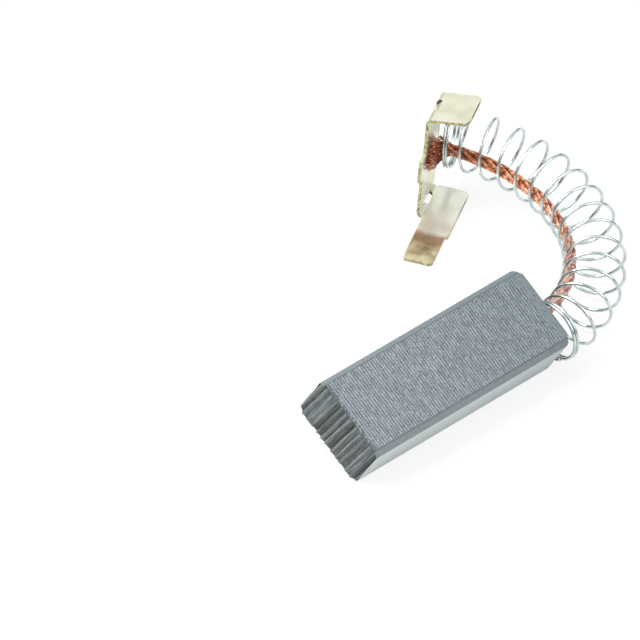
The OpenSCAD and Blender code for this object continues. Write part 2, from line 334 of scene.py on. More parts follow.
# %% How the cord changes on its way to the weld
# It is pressed flat there, which stops the twist: the wires lie side by side. The lay
# opens a little before that, where the heat has let the wires go.
pressed_l, press_run, twist_lost = 6.9, 2.4, 0.85
press_from = cord_length - pressed_l
press = ease(np.clip((ways - press_from) / press_run, 0, 1))
twisted = np.cumsum((1 - twist_lost * press) * np.gradient(ways))
open_from, warm_from, change_run = 0.4, 0.3, 0.35
opening = ease(np.clip((ways / cord_length - open_from) / change_run, 0, 1))
tight, slack = 0.94, 0.26
loose = tight + slack * opening
warmth = np.clip((ways / cord_length - warm_from) / change_run, 0, 1)
print("the lay opens from", tight, "to", round(float(loose.max()), 2), "times the drawn one")

# %% Sizes of the strands
# Three bundles lie across the cord, and three wires across a bundle. In the weld the cord
# is several times as wide as before. Two wires of one bundle have escaped the press.
bundles, wires_each = 6, 7
ring_wires = wires_each - 1
bundle_r = cord_d / 6
wire_r = bundle_r / 3
wire_sides = 5
inner_lay = 3.0
weld_spread = 3.7
stray_up, stray_far, fray_l = 0.35, 1.5, 0.9
escaped = {(2, 1), (2, 4)}
warm_heat, weld_heat = 0.45, 0.55
print("wires are", round(2 * wire_r, 3), "mm thick, and turn once in", inner_lay, "mm")

# %% Every wire of every bundle
fray = np.random.default_rng(7)
strands, heats = [], []
for b in range(bundles + 1):
    turn = 2 * np.pi * (b / bundles - twisted / cord_lay)
    from_axis = 0 if b == bundles else 2 * bundle_r
    for w in range(wires_each):
        spin = 2 * np.pi * (w / ring_wires + twisted / inner_lay)
        r = 0 if w == ring_wires else 2 * wire_r
        across = loose * (from_axis * np.cos(turn) + r * np.cos(spin))
        upward = loose * (from_axis * np.sin(turn) + r * np.sin(spin))
        offset = side * across[:, None] + up * upward[:, None]
        out = (offset @ web_out)[:, None]
        tall = (offset @ web_up)[:, None]
        p = press[:, None]
        line = centre + offset - p * (1 - weld_t / cord_d) * out * web_out
        stray = fray.uniform(-stray_up, stray_up) + (stray_far if (b, w) in escaped else 0)
        line = line + (p * (weld_spread - 1) * tall / loose[:, None] + p * p * stray) * web_up
        keep = ways <= cord_length - fray.uniform(0, fray_l)
        strands.append(line[keep])
        heats.append((warm_heat * warmth + weld_heat * press)[keep])
pigtail = sweep("pigtail_strands", strands, wire_r, wire_sides)
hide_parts("pigtail")
heat = pigtail.data.attributes.new("heated", "FLOAT", "POINT")
heat.data.foreach_set("value", np.repeat(np.concatenate(heats), wire_sides).astype(np.float32))
print(len(strands), "wires,", len(pigtail.data.polygons), "faces")

# %% [markdown]
# ## The carbon block
#
# The block is pressed from graphite powder and then ground. Fine ribs run across the
# wide faces, the bevels are smooth, the tail's corners are worn round, and the contact
# end is cut with rough grooves so that it beds in quickly. A displaced cube would need
# far more faces, so the block is lofted instead: one closed section is repeated at
# stations along the block, and each station lifts, sinks or shrinks it a little.

# %% The section: a grid over it, and the loop round the grid
columns, rows = 120, 14
y = np.linspace(0, block_w, columns + 1)
cut = np.maximum(0, np.maximum(edge_bevel - y, y - (block_w - edge_bevel)))
z_low, z_high = cut, block_t - cut
grid_z = z_low[None, :] + (z_high - z_low)[None, :] * np.linspace(0, 1, rows + 1)[:, None]
grid_y = np.tile(y, (rows + 1, 1))
loop = ([(0, j) for j in range(columns)] + [(k, columns) for k in range(rows)]
        + [(rows, j) for j in range(columns, 0, -1)] + [(k, 0) for k in range(rows, 0, -1)])
loop_k = np.array([k for k, j in loop])
loop_j = np.array([j for k, j in loop])
loop_y = grid_y[loop_k, loop_j]
loop_z = grid_z[loop_k, loop_j]
ring = len(loop)
print("section has", ring, "points round it")

# %% Bedding grooves: hollows of uneven depth and width, each with one deep scratch
# Two grooves more stand ready on each side, because the skew brings them in.
groove_pitch, groove_depth = 0.83, 0.24
scratch_w, flat_bottom, spare = 0.09, 0.7, 2
rng = np.random.default_rng(11)
edges = np.arange(-spare, block_w / groove_pitch + spare + 1) * groove_pitch
edges = edges + rng.uniform(-0.15, 0.15, len(edges))
depths = groove_depth * rng.uniform(0.35, 0.95, len(edges))
scratch_at = rng.uniform(0.12, 0.4, len(edges))
scratch_deep = rng.uniform(0.04, 0.17, len(edges))


def cut_depth(across):
    """How deep the cut is at these places across the block."""
    number = np.clip(np.searchsorted(edges, across) - 1, 0, len(edges) - 2)
    phase = (across - edges[number]) / (edges[number + 1] - edges[number])
    broad = depths[number] * np.sin(np.pi * np.clip(phase, 0, 1)) ** flat_bottom
    return broad + scratch_deep[number] * np.exp(-((phase - scratch_at[number]) / scratch_w) ** 2)


print(len(edges) - 1, "grooves from", round(edges[0], 1), "to", round(edges[-1], 1), "mm across")


# %% The cut end: the grooves run slightly askew, and break out at the upper edge
def smooth_noise(count, spacing, seed):
    """A smooth random line of `count` values with a knot every `spacing` values."""
    knots = np.random.default_rng(seed).uniform(-1, 1, int(count / spacing) + 4)
    x = np.arange(count) / spacing
    i = x.astype(int)
    f = ease(x - i)
    return knots[i] * (1 - f) + knots[i + 1] * f


groove_skew, waver, waver_knot = -0.07, 0.15, 9
chip_knot, chip_from, chip_depth = 2.5, 0.15, 0.2
break_from, break_share = 0.12, 0.5
end_x = np.stack([
    cut_depth(y - groove_skew * (block_t * k / rows - block_t / 2))
    * (1 + waver * smooth_noise(len(y), waver_knot, seed=50 + k)) for k in range(rows + 1)
])
chips = (np.clip(smooth_noise(len(y), chip_knot, seed=77) - chip_from, 0, 1) * chip_depth
         + break_share * np.maximum(end_x[-1] - break_from, 0))
print("grooves are", round(float(end_x.max()), 2), "mm deep at most")

# %% Stations: four to a rib, and closer ones round the tail's corners
rib_pitch, rib_depth = 0.35, 0.024
stations_a_rib, bare_end, tail_gap = 4, 0.5, 0.05
body_x = np.arange(2, int((block_l - 1) / rib_pitch * stations_a_rib)) * rib_pitch / stations_a_rib
body_x = body_x[body_x > bare_end]
round_angles = np.radians(np.linspace(4, 88, 12))
tail_x = block_l - tail_r + tail_r * np.sin(round_angles)
stations = np.r_[body_x[body_x < block_l - tail_r - tail_gap], tail_x]
print(len(stations), "stations along the block")

# %% The grooved end closes the loft with a grid of faces
points, faces = [], []
for k in range(rows + 1):
    drop = chips * (1.0 if k == rows else 0.0)
    points.extend(zip(end_x[k], grid_y[k], grid_z[k] - drop))
for k in range(rows):
    for j in range(columns):
        a = k * (columns + 1) + j
        faces.append((a, a + columns + 1, a + columns + 2, a + 1))
previous = [k * (columns + 1) + j for k, j in loop]
print("end has", len(faces), "faces")


# %% The body: one ring of points to a station
def bridge(previous, base):
    """Faces from one ring of points to the next."""
    for m in range(ring):
        n = (m + 1) % ring
        faces.append((previous[m], previous[n], base + n, base + m))
    return list(range(base, base + ring))


def shrink_at(x, radius):
    """How far a corner of this radius has turned in at x."""
    past = np.clip(x - (block_l - radius), 0, radius)
    return radius - math.sqrt(radius * radius - past * past)


# Ribs lie between the bevels, fade towards both ends and are more worn near the tail.
# Their crests stay on the pressed face, and the valleys sink unevenly between them.
wide = (loop_k == 0) | (loop_k == rows)
from_side = np.minimum(loop_y, block_w - loop_y)
rib_fade, front_fade, tail_fade = 0.3, 0.6, 0.8
inside = np.clip((from_side - edge_bevel) / rib_fade, 0, 1) * wide
facing = np.where(loop_k == 0, -1.0, 1.0)
ribs_from, ribs_to, wear = 0.3, 1.5, 0.45
valley_mean, valley_swing, valley_knot = 0.55, 0.45, 12
for x in stations:
    amount = min(1.0, (x - ribs_from) / front_fade, max(0.0, (block_l - ribs_to - x) / tail_fade))
    wave = math.cos(2 * math.pi * x / rib_pitch) - 1
    rib_noise = smooth_noise(ring, valley_knot, seed=1000 + int(x / rib_pitch))
    uneven = valley_mean + valley_swing * rib_noise
    worn = 1 - wear * x / block_l
    lift = rib_depth * worn * wave * amount * uneven * inside * facing
    narrow = 1 - 2 * shrink_at(x, tail_r) / block_w
    thin = 1 - 2 * shrink_at(x, tail_bevel) / block_t
    base = len(points)
    points.extend(zip([x] * ring, block_w / 2 + (loop_y - block_w / 2) * narrow,
                      block_t / 2 + (loop_z + lift - block_t / 2) * thin))
    previous = bridge(previous, base)
print("end and body have", len(faces), "faces")

# %% The tail's face runs in to the hole for the shunt
# A ring close to each edge keeps that edge crisp under smooth shading.
hole_r = 1.4
last = np.array(points[-ring:])
turn = np.arctan2(last[:, 2] - block_t / 2, last[:, 1] - block_w / 2)
rim = np.stack([np.full(ring, block_l), block_w / 2 + hole_r * np.cos(turn),
                block_t / 2 + hole_r * np.sin(turn)], 1)
flat_last = last * [0, 1, 1] + [block_l, 0, 0]
for share in (0.04, 0.3, 0.6, 0.9, 1.0):
    points.extend(map(tuple, flat_last * (1 - share) + rim * share))
    previous = bridge(previous, len(points) - ring)
for inward in (0.1, 0.6, 1.5):
    points.extend(map(tuple, rim - [inward, 0, 0]))
    previous = bridge(previous, len(points) - ring)
faces.append(tuple(previous))
print("hole is", 2 * hole_r, "mm wide, and", inward, "mm of its wall is modelled")

# %% The finished block, on the bench
sharp_edge = math.radians(32)
mesh = bpy.data.meshes.new("carbon_body")
mesh.from_pydata([tuple(float(v) * MM for v in p) for p in points], [], faces)
mesh.shade_smooth()
mesh.set_sharp_from_angle(angle=sharp_edge)
# The depth of the grooves rides along as an attribute, for the dust and painted shade in the material.
hollow = mesh.attributes.new("hollow", "FLOAT", "POINT")
hollows = np.r_[end_x.ravel(), np.zeros(len(points) - end_x.size)]
hollow.data.foreach_set("value", hollows.astype(np.float32))
carbon = bpy.data.objects.new("carbon_body", mesh)
bpy.context.collection.objects.link(carbon)
carbon.matrix_world = Matrix(
    [list(block_turn[r]) + [block_place[r] * MM] for r in range(3)] + [[0, 0, 0, 1]])
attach(carbon, "root")
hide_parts("carbon_block")
print("block has", len(faces), "faces")

# %% [markdown]
# ## Materials
#
# Each material is a small tree of shader nodes. It could be wired by hand in the shader
# editor, but written out it can be read in order, so one helper adds any node with its
# settings and links. Colours are chosen on a screen, so they are written as sRGB hex and
# turned to the linear values that the renderer works in. Patterns are sized in
# millimetres: a mapping node of the texture kind makes one noise cell that large.


# %% Helpers for colours and sizes
def srgb(code):
    """A hex colour as linear red, green, blue and alpha."""
    parts = [int(code[i:i + 2], 16) / 255 for i in (1, 3, 5)]
    return tuple(p / 12.92 if p <= 0.04045 else ((p + 0.055) / 1.055) ** 2.4 for p in parts) + (1.0,)


def in_metres(*sizes):
    """Sizes in millimetres as a tuple of metres."""
    return tuple(size * MM for size in sizes)


white = srgb("#ffffff")
print("mid grey #808080 sends back", round(srgb("#808080")[0], 3), "of the light")


# %% One helper for nodes
def add(owner, kind, inputs=None, stops=(), **settings):
    """Add a node to a material or world. An input is a value, a socket, or a node to link from."""
    tree = owner.node_tree
    node = tree.nodes.new(kind)
    for name, value in settings.items():
        setattr(node, name, value)
    for place, value in (inputs or {}).items():
        if isinstance(value, bpy.types.Node):
            value = value.outputs[0]
        if isinstance(value, bpy.types.NodeSocket):
            tree.links.new(value, node.inputs[place])
        else:
            node.inputs[place].default_value = value
    # A ramp starts with two stops. The first two given set those, and the rest go between.
    for k, (position, code) in enumerate(stops):
        band = node.color_ramp.elements[k] if k < 2 else node.color_ramp.elements.new(position)
        band.position, band.color = position, srgb(code)
    return node


def new_material(name):
    """An empty node material."""
    material = bpy.data.materials.new(name)
    material.use_nodes = True
    material.node_tree.nodes.clear()
    return material


print("materials that came with the solids:", len(bpy.data.materials))

# %% The kinds of node in use, and their numbered sockets
MATHS, VECTOR_MATHS = "ShaderNodeMath", "ShaderNodeVectorMath"
NOISE, WAVE, MAPPING = "ShaderNodeTexNoise", "ShaderNodeTexWave", "ShaderNodeMapping"
RAMP, MIX, STEP = "ShaderNodeValToRGB", "ShaderNodeMix", "ShaderNodeMapRange"
PLACE, SPLIT, ATTRIBUTE = "ShaderNodeTexCoord", "ShaderNodeSeparateXYZ", "ShaderNodeAttribute"
BUMP, SHADER, OUTPUT = "ShaderNodeBump", "ShaderNodeBsdfPrincipled", "ShaderNodeOutputMaterial"
RAYS, BLEND = "ShaderNodeLightPath", "ShaderNodeMixShader"
# Sockets that share a name with others of their node are reached by number. A maths node
# works on VALUE and OTHER, and may add PLUS. A step node is 0 where VALUE is LOW, and
# TOP, or 1, where it is HIGH. A mix puts a SHARE of OVER on UNDER, and gives MIXED. A
# blend of shaders goes from FIRST to SECOND with SHARE.
VALUE, OTHER, PLUS = 0, 1, 2
LOW, HIGH, TOP = 1, 2, 4
SHARE, UNDER, OVER, MIXED = 0, 6, 7, 2
FIRST, SECOND = 1, 2
print("a mix takes its colours at inputs", UNDER, "and", OVER, "and gives one at output", MIXED)

# %% [markdown]
# ## Pressed electrographite
#
# Graphite is a dark grey half-metal. Pressed and ground, it scatters light softly and
# looks pale grey under a bright sky. The wide faces were pressed against ribbed dies, so
# light catches the crest of each rib in short broken strokes, which are painted highlights,
# and pores show as dark specks. The narrow sides were ground flat, and their paler colour is
# painted light from the white bench that they reflect. The contact end was cut by a coarse
# wheel, which leaves hollows that hold black dust; their dark colour is dust and painted
# shade. Three materials on three sets of faces would meet in hard lines. One material with
# a mask for each finish, taken from the direction that the surface faces, lets them meet
# softly at the bevels.

# %% Where each finish goes on the block
# A mask is full where the face looks its way, and fades as it turns off to a bevel.
ribs_fade, ribs_end = 1.4, 0.8
carbon_mat = new_material("pressed electrographite")
where = add(carbon_mat, PLACE)
local = where.outputs["Object"]
block_axes = add(carbon_mat, SPLIT, {"Vector": local})
facing_axes = add(carbon_mat, SPLIT, {"Vector": where.outputs["Normal"]})
up_or_down = add(carbon_mat, MATHS, {VALUE: facing_axes.outputs["Z"]}, operation="ABSOLUTE")
sideways = add(carbon_mat, MATHS, {VALUE: facing_axes.outputs["Y"]}, operation="ABSOLUTE")
on_wide = add(carbon_mat, STEP, {VALUE: up_or_down, LOW: 0.86, HIGH: 0.95})
on_side = add(carbon_mat, STEP, {VALUE: sideways, LOW: 0.8, HIGH: 0.95})
on_end = add(carbon_mat, STEP, {VALUE: facing_axes.outputs["X"], LOW: -0.35, HIGH: -0.7})
before_tail = add(carbon_mat, STEP, {
    VALUE: block_axes.outputs["X"], LOW: (block_l - ribs_end) * MM, HIGH: (block_l - ribs_fade) * MM})
ribbed = add(carbon_mat, MATHS, {VALUE: on_wide, OTHER: before_tail}, operation="MULTIPLY")
print("ribs fade out from", ribs_fade, "to", ribs_end, "mm before the tail")

# %% Ribs with painted highlights on their crests, in broken strokes, and powder grain
# A wave texture repeats every 2 pi / 20 of its own units, which sets its scale.
wave_l = 2 * math.pi / 20
# The wave is a painted highlight along the crest of each rib, where light catches it.
crests = add(carbon_mat, WAVE, {
    "Vector": local, "Scale": wave_l / (rib_pitch * MM), "Distortion": 1.2,
    "Detail": 2.0, "Detail Scale": 3.0, "Phase Offset": math.pi})
# A stroke of painted highlight is narrower than a rib along the block, and about 1 mm long across it.
highlight_stroke_cells = add(carbon_mat, MAPPING, {"Vector": local, "Scale": in_metres(0.28, 0.95, 1.5)},
                   vector_type="TEXTURE")
strokes = add(carbon_mat, NOISE, {"Vector": highlight_stroke_cells, "Scale": 1.0, "Detail": 2.0})
# Graphite grains are about 0.05 mm: they are drawn three times as wide, to show.
grain_cells = add(carbon_mat, MAPPING, {"Vector": local, "Scale": in_metres(0.15, 0.17, 0.17)},
                  vector_type="TEXTURE")
grain = add(carbon_mat, NOISE, {"Vector": grain_cells, "Scale": 1.0, "Detail": 3.0})
crest_highlight_part, highlight_stroke_part, grain_part = 0.26, 0.4, 0.62
tone = add(carbon_mat, MATHS, {VALUE: crests, OTHER: crest_highlight_part, PLUS: 0.0}, operation="MULTIPLY_ADD")
tone = add(carbon_mat, MATHS, {VALUE: strokes, OTHER: highlight_stroke_part, PLUS: tone}, operation="MULTIPLY_ADD")
tone = add(carbon_mat, MATHS, {VALUE: grain, OTHER: grain_part, PLUS: tone}, operation="MULTIPLY_ADD")
ribbed_colour = add(carbon_mat, RAMP, {"Fac": tone}, [
    (0.47, "#434c52"), (0.88, "#a6afb6"), (0.58, "#69737b"), (0.7, "#7d878e")])
plain_colour = add(carbon_mat, RAMP, {"Fac": grain}, [(0.3, "#667275"), (0.7, "#828e93")])
# The narrow sides are painted paler: painted light for the white bench that they reflect.
side_painted_light = add(carbon_mat, RAMP, {"Fac": grain}, [(0.3, "#97a3a3"), (0.7, "#c5d0ce")])
print("the wave's scale is", round(wave_l / (rib_pitch * MM)), "for ribs of", rib_pitch, "mm")

# %% The cut end: scratches along the hollows, dust and painted shade in their depth
scratch_cells = add(carbon_mat, MAPPING, {
    "Vector": local, "Rotation": (-math.atan(groove_skew), 0, 0), "Scale": in_metres(4.0, 0.11, 4.5)},
    vector_type="TEXTURE")
scratches = add(carbon_mat, NOISE, {"Vector": scratch_cells, "Scale": 1.0, "Detail": 2.0})
in_hollow = add(carbon_mat, ATTRIBUTE, attribute_name="hollow")
scratch_part, end_level, dust_and_shade_part, end_grain = 0.8, 0.14, -1.7, 0.3
end_tone = add(carbon_mat, MATHS, {VALUE: scratches, OTHER: scratch_part, PLUS: end_level},
               operation="MULTIPLY_ADD")
# Deeper in a hollow the colour darkens, as dust and as painted shade.
end_tone = add(carbon_mat, MATHS, {VALUE: in_hollow.outputs["Fac"], OTHER: dust_and_shade_part, PLUS: end_tone},
               operation="MULTIPLY_ADD")
end_tone = add(carbon_mat, MATHS, {VALUE: grain, OTHER: end_grain, PLUS: end_tone},
               operation="MULTIPLY_ADD")
end_colour = add(carbon_mat, RAMP, {"Fac": end_tone}, [
    (0.34, "#101517"), (0.76, "#87928f"), (0.46, "#333b3d"), (0.57, "#5a6465")])
print("scratches lean", round(math.degrees(math.atan(groove_skew)), 1), "degrees")

# %% Pores, the chipped corner, and the worn line at the bevels
pore_cells = add(carbon_mat, MAPPING, {"Vector": local, "Scale": in_metres(0.2, 0.26, 0.26)},
                 vector_type="TEXTURE")
pores = add(carbon_mat, NOISE, {"Vector": pore_cells, "Scale": 1.0, "Detail": 1.0})
pitted = add(carbon_mat, STEP, {VALUE: pores, LOW: 0.58, HIGH: 0.68, TOP: 0.8})
pitted = add(carbon_mat, MATHS, {VALUE: pitted, OTHER: on_wide}, operation="MULTIPLY")
# Near the cut end the same noise turns to chips: it falls by 0.5 for each millimetre inward.
chip_fall = 0.5
near_end = add(carbon_mat, MATHS, {VALUE: block_axes.outputs["X"], OTHER: -chip_fall / MM, PLUS: pores},
               operation="MULTIPLY_ADD")
chipped = add(carbon_mat, STEP, {VALUE: near_end, LOW: 0.24, HIGH: 0.32})
chipped = add(carbon_mat, MATHS, {VALUE: chipped, OTHER: on_wide}, operation="MULTIPLY")
off_axis = add(carbon_mat, MATHS, {VALUE: block_axes.outputs["Y"], OTHER: block_w / 2 * MM},
               operation="SUBTRACT")
off_axis = add(carbon_mat, MATHS, {VALUE: off_axis}, operation="ABSOLUTE")
to_bevel = add(carbon_mat, MATHS, {VALUE: off_axis, OTHER: (block_w / 2 - edge_bevel) * MM},
               operation="SUBTRACT")
to_bevel = add(carbon_mat, MATHS, {VALUE: to_bevel}, operation="ABSOLUTE")
line_far, line_near = 0.13, 0.03
bevel_line = add(carbon_mat, STEP, {VALUE: to_bevel, LOW: line_far * MM, HIGH: line_near * MM, TOP: 0.6})
dark = add(carbon_mat, MATHS, {VALUE: pitted, OTHER: chipped}, operation="MAXIMUM")
dark = add(carbon_mat, MATHS, {VALUE: dark, OTHER: bevel_line}, operation="MAXIMUM")
print("the line at each bevel is", 2 * line_far, "mm wide")

# %% The layers of colour, from the plain bevels up, and painted shade that darkens the block towards the tail
along = add(carbon_mat, STEP, {VALUE: block_axes.outputs["X"], LOW: 0.0, HIGH: block_l * MM})
# Painted shade: the colour is multiplied darker along the block towards the tail.
shade = add(carbon_mat, RAMP, {"Fac": along}, [(0.3, "#f5f5f4"), (1.0, "#dde1e2")])
layers = add(carbon_mat, MIX, {SHARE: on_side, UNDER: plain_colour, OVER: side_painted_light}, data_type="RGBA")
layers = add(carbon_mat, MIX, {SHARE: ribbed, UNDER: layers.outputs[MIXED], OVER: ribbed_colour},
             data_type="RGBA")
layers = add(carbon_mat, MIX, {SHARE: on_end, UNDER: layers.outputs[MIXED], OVER: end_colour},
             data_type="RGBA")
layers = add(carbon_mat, MIX, {SHARE: dark, UNDER: layers.outputs[MIXED], OVER: srgb("#3d464b")},
             data_type="RGBA")
# This multiply lays the painted shade over all the layers.
layers = add(carbon_mat, MIX, {SHARE: 1.0, UNDER: layers.outputs[MIXED], OVER: shade},
             data_type="RGBA", blend_type="MULTIPLY")
print("five layers of colour end in", layers.name)

# %% The graphite's shader
# It isn't given as a metal: pressed powder scatters too much for a mirror's tint. The
# IOR lies between those of its pitch binder and of graphite, so slanting faces shine.
grain_height = 0.04
relief = add(carbon_mat, MATHS, {VALUE: scratches, OTHER: on_end, PLUS: grain}, operation="MULTIPLY_ADD")
carbon_bump = add(carbon_mat, BUMP, {"Height": relief, "Strength": 0.35, "Distance": grain_height * MM})
carbon_shader = add(carbon_mat, SHADER, {
    "Base Color": layers.outputs[MIXED], "Roughness": 0.46, "IOR": 1.7, "Normal": carbon_bump})
add(carbon_mat, OUTPUT, {"Surface": carbon_shader})
carbon.data.materials.append(carbon_mat)
print("graphite nodes:", len(carbon_mat.node_tree.nodes))

# %% [markdown]
# ## Spring steel
#
# The wire is hard-drawn steel, bright and smooth from the die. It has no colour of its
# own: it shows the white bench and lamps in its middle and the grey room at its edges.
# A flat grey would look like string, so it is a full metal with low roughness, and a thin
# film of oil and oxide only shifts its tint from place to place.

# %% Bright drawn wire
steel_mat = new_material("bright drawn spring steel")
wire_place = add(steel_mat, PLACE)
film_cells = add(steel_mat, MAPPING, {"Vector": wire_place.outputs["Object"],
                                      "Scale": in_metres(1.2, 1.2, 1.2)}, vector_type="TEXTURE")
film = add(steel_mat, NOISE, {"Vector": film_cells, "Scale": 1.0, "Detail": 2.0})
film_colour = add(steel_mat, RAMP, {"Fac": film}, [(0.3, "#b4c0c1"), (0.7, "#dbe3e3")])
steel_shader = add(steel_mat, SHADER, {"Base Color": film_colour, "Metallic": 1.0, "Roughness": 0.16})
add(steel_mat, OUTPUT, {"Surface": steel_shader})
spring.data.materials.append(steel_mat)
print("steel nodes:", len(steel_mat.node_tree.nodes))

# %% [markdown]
# ## Copper cord
#
# Bare copper wire is pale pink where it is bright and red-brown where it has been
# heated. The flattened end was welded with heat, so it is the darkest part of the cord.
# The heat could be painted on by hand, but the wires already know how far they are from
# the weld, so the colour is read from their "heated" attribute. Old copper carries a thin
# dull oxide, so about a third of the light is scattered as on paint.

# %% Bare stranded copper
copper_mat = new_material("bare stranded copper")
cord_place = add(copper_mat, PLACE)
tarnish_cells = add(copper_mat, MAPPING, {"Vector": cord_place.outputs["Object"],
                                          "Scale": in_metres(0.5, 0.5, 0.5)}, vector_type="TEXTURE")
tarnish = add(copper_mat, NOISE, {"Vector": tarnish_cells, "Scale": 1.0, "Detail": 3.0})
bright = add(copper_mat, RAMP, {"Fac": tarnish}, [
    (0.38, "#ae8070"), (0.66, "#f3d9cf"), (0.52, "#d8b1a3")])
warmed = add(copper_mat, RAMP, {"Fac": tarnish}, [
    (0.38, "#9c5839"), (0.66, "#f6c9aa"), (0.52, "#da9370")])
burnt = add(copper_mat, RAMP, {"Fac": tarnish}, [
    (0.35, "#8a3f24"), (0.7, "#ecab80"), (0.52, "#c9744a")])
heated = add(copper_mat, ATTRIBUTE, attribute_name="heated")
warm_share = add(copper_mat, STEP, {VALUE: heated.outputs["Fac"], LOW: 0.0, HIGH: warm_heat})
burnt_share = add(copper_mat, STEP, {VALUE: heated.outputs["Fac"], LOW: 0.5, HIGH: 0.95})
copper_colour = add(copper_mat, MIX, {SHARE: warm_share, UNDER: bright, OVER: warmed}, data_type="RGBA")
copper_colour = add(copper_mat, MIX, {
    SHARE: burnt_share, UNDER: copper_colour.outputs[MIXED], OVER: burnt}, data_type="RGBA")
copper_shader = add(copper_mat, SHADER, {
    "Base Color": copper_colour.outputs[MIXED], "Metallic": 0.65, "Roughness": 0.4})
add(copper_mat, OUTPUT, {"Surface": copper_shader})
pigtail.data.materials.append(copper_mat)
print("copper nodes:", len(copper_mat.node_tree.nodes))

# %% [markdown]
# ## Tinned brass strip
#
# The cap is punched from thin brass that was tinned in the coil, so its faces are a pale
# straw mirror and its cut edges are duller. Heat from the weld and fingers have left
# brown patches on the tongue, and the same brown is also painted reflection and shade
# there. The patch could be a painted picture, but noise held between limits gives the
# same ragged border at any size. The finish is laid out in the cap's own directions: a
# runs along the web to the tongue's tip, b across the flanges, h up the web.

# %% The cap's own directions
brass_mat = new_material("tinned brass strip")
cap_where = add(brass_mat, PLACE)
on_sheet = add(brass_mat, MAPPING, {
    "Vector": cap_where.outputs["Object"], "Location": tuple(cap_place * MM),
    "Rotation": tuple(Matrix(cap_turn.tolist()).to_euler("XYZ"))}, vector_type="TEXTURE")
cap_axes = add(brass_mat, SPLIT, {"Vector": on_sheet})
a_way, b_way, h_way = cap_axes.outputs
a_facing = add(brass_mat, VECTOR_MATHS, {
    VALUE: cap_where.outputs["Normal"], OTHER: tuple(cap_turn[:, 0])}, operation="DOT_PRODUCT")
b_facing = add(brass_mat, VECTOR_MATHS, {
    VALUE: cap_where.outputs["Normal"], OTHER: tuple(cap_turn[:, 1])}, operation="DOT_PRODUCT")
print("the cap's a axis points", np.round(cap_turn[:, 0], 2), "on the bench")

# %% Clean tin, with painted light that makes it brighter low down on the cap
sheen_cells = add(brass_mat, MAPPING, {"Vector": on_sheet, "Scale": in_metres(2.5, 2.5, 6.0)},
                  vector_type="TEXTURE")
sheen = add(brass_mat, NOISE, {"Vector": sheen_cells, "Scale": 1.0, "Detail": 2.0})
tin = add(brass_mat, RAMP, {"Fac": sheen}, [(0.3, "#d3d2b7"), (0.75, "#eae9db"), (0.55, "#e2e1cc")])
low_painted_light_tin = add(brass_mat, RAMP, {"Fac": sheen}, [(0.3, "#eeedd8"), (0.7, "#fbfbf2")])
# Below low_from the tin is painted brighter: painted light for the lower flange, which lies in shade near
# the bench.
low_from, low_full = 1.6, 0.6
low_down = add(brass_mat, STEP, {VALUE: h_way, LOW: low_from * MM, HIGH: low_full * MM})
face = add(brass_mat, MIX, {SHARE: low_down, UNDER: tin, OVER: low_painted_light_tin}, data_type="RGBA")
print("tin is rubbed bright below", low_from, "mm")

# %% The tongue's brown patch, part heat stain and part painted reflection and shade: brown, then straw towards the tip
brown_patch_from, brown_patch_full, straw_from, straw_full = 9.2, 10.2, 11.2, 13.8
ragged = 2.4
blotch_cells = add(brass_mat, MAPPING, {"Vector": on_sheet, "Scale": in_metres(1.6, 1.6, 4.0)},
                   vector_type="TEXTURE")
blotch = add(brass_mat, NOISE, {"Vector": blotch_cells, "Scale": 1.0, "Detail": 5.0})
# The brown patch is partly a heat stain and partly painted reflection and shade.
stain_and_reflection_way = add(brass_mat, MATHS, {VALUE: blotch, OTHER: ragged * MM, PLUS: a_way},
                operation="MULTIPLY_ADD")
past_weld = add(brass_mat, STEP, {VALUE: stain_and_reflection_way, LOW: brown_patch_from * MM, HIGH: brown_patch_full * MM})
stain_and_reflection_mask = add(brass_mat, MATHS, {VALUE: past_weld, OTHER: low_down}, operation="MULTIPLY")
fading = add(brass_mat, STEP, {VALUE: stain_and_reflection_way, LOW: straw_from * MM, HIGH: straw_full * MM})
brown = add(brass_mat, RAMP, {"Fac": blotch}, [(0.35, "#86735a"), (0.64, "#b38f74"), (0.5, "#9f886a")])
straw = add(brass_mat, RAMP, {"Fac": blotch}, [(0.35, "#b8ab84"), (0.6, "#e0dab4")])
stain = add(brass_mat, MIX, {SHARE: fading, UNDER: brown, OVER: straw}, data_type="RGBA")
face = add(brass_mat, MIX, {SHARE: stain_and_reflection_mask, UNDER: face.outputs[MIXED], OVER: stain.outputs[MIXED]},
           data_type="RGBA")
print("the stain starts about", round(brown_patch_from - ragged / 2, 1), "mm along the cap")

# %% Cut edges, where the punch tore through the tin
edge_from, edge_full = 0.9, 0.4
end_on = add(brass_mat, MATHS, {VALUE: a_facing.outputs["Value"]}, operation="ABSOLUTE")
end_edge = add(brass_mat, STEP, {VALUE: end_on, LOW: 0.7, HIGH: 0.85})
far_out = add(brass_mat, STEP, {
    VALUE: b_way, LOW: (flange_w - edge_from) * MM, HIGH: (flange_w - edge_full) * MM})
outward = add(brass_mat, STEP, {VALUE: b_facing.outputs["Value"], LOW: 0.6, HIGH: 0.8})
long_edge = add(brass_mat, MATHS, {VALUE: far_out, OTHER: outward}, operation="MULTIPLY")
cut_edge = add(brass_mat, MATHS, {VALUE: long_edge, OTHER: end_edge}, operation="MAXIMUM")
burr_cells = add(brass_mat, MAPPING, {"Vector": on_sheet, "Scale": in_metres(0.35, 0.35, 0.35)},
                 vector_type="TEXTURE")
burr = add(brass_mat, NOISE, {"Vector": burr_cells, "Scale": 1.0, "Detail": 2.0})
bare = add(brass_mat, RAMP, {"Fac": burr}, [(0.35, "#86825c"), (0.62, "#cfcda2")])
